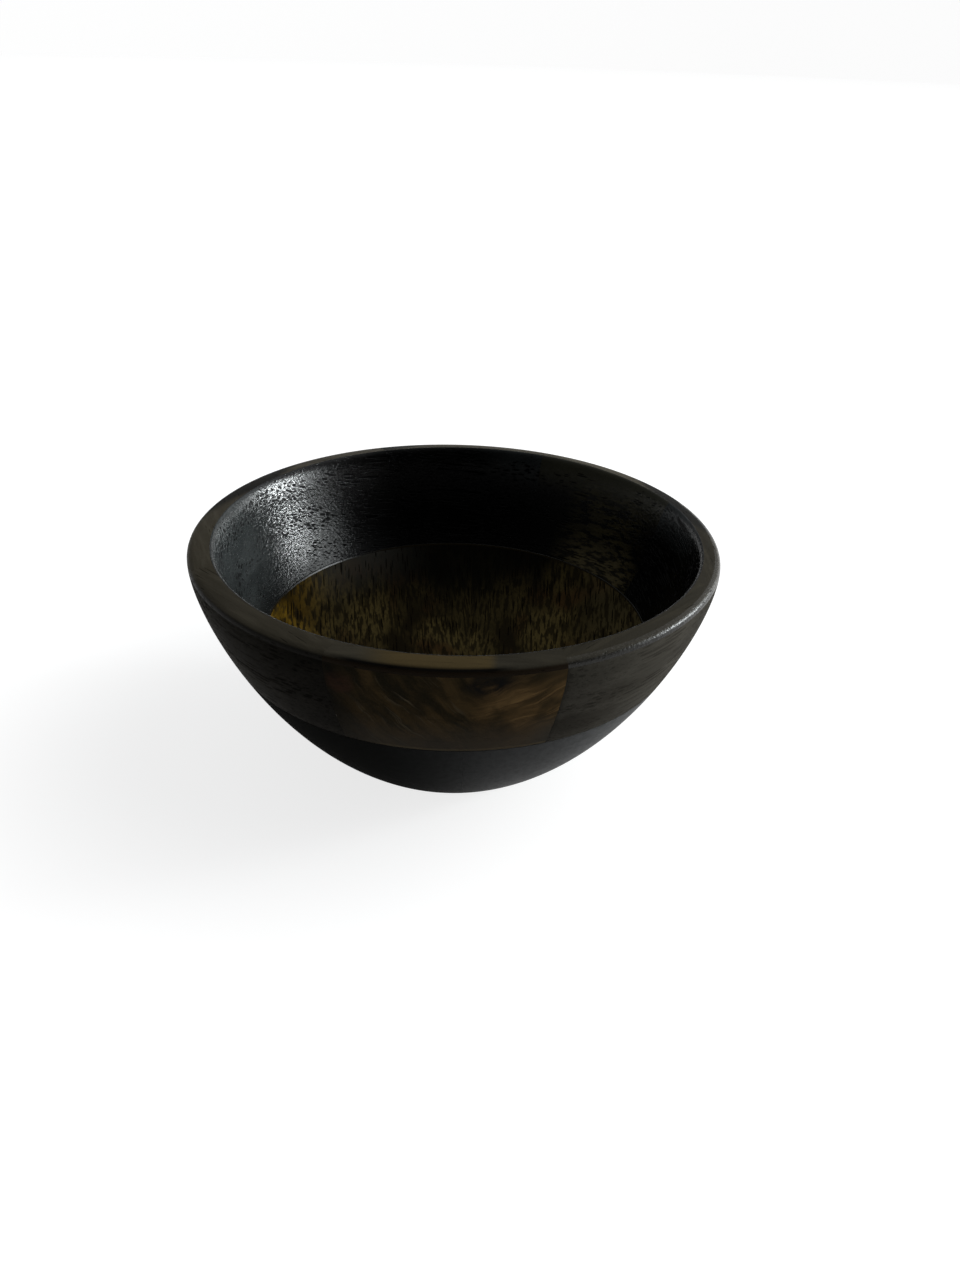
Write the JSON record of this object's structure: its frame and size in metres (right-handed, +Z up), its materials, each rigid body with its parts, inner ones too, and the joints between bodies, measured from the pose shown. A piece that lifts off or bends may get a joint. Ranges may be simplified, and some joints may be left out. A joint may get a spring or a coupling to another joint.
{
  "type": "serving bowl",
  "caption": "Round wooden serving bowl with a broad eased rim and a flat foot, a ring of mitred wall blocks glued on an edge-glued base.",
  "frame": {"origin": "middle of the flat foot, on the surface that the bowl stands on", "axes": "+Z up along the bowl's turning axis, -Y towards the lighter front block, +X to the right seen from the front"},
  "size_m": [0.2, 0.2, 0.09],
  "materials": {
    "ring_wood": "dark ebony stain under semi-gloss lacquer, open pores",
    "figured_ring_wood": "brown streaky figure under a dark stain and semi-gloss lacquer",
    "base_wood": "olive-brown stained wood with dark pore lines, semi-gloss lacquer"
  },
  "bodies": {
    "root": {"ring_block_right": "ring_wood", "ring_block_back_right": "ring_wood", "ring_block_back": "ring_wood", "ring_block_back_left": "ring_wood", "ring_block_left": "ring_wood", "ring_block_front_left": "ring_wood", "ring_block_front": "figured_ring_wood", "ring_block_front_right": "ring_wood", "base_board_left": "base_wood", "base_board_right": "base_wood"}
  },
  "joints": []
}
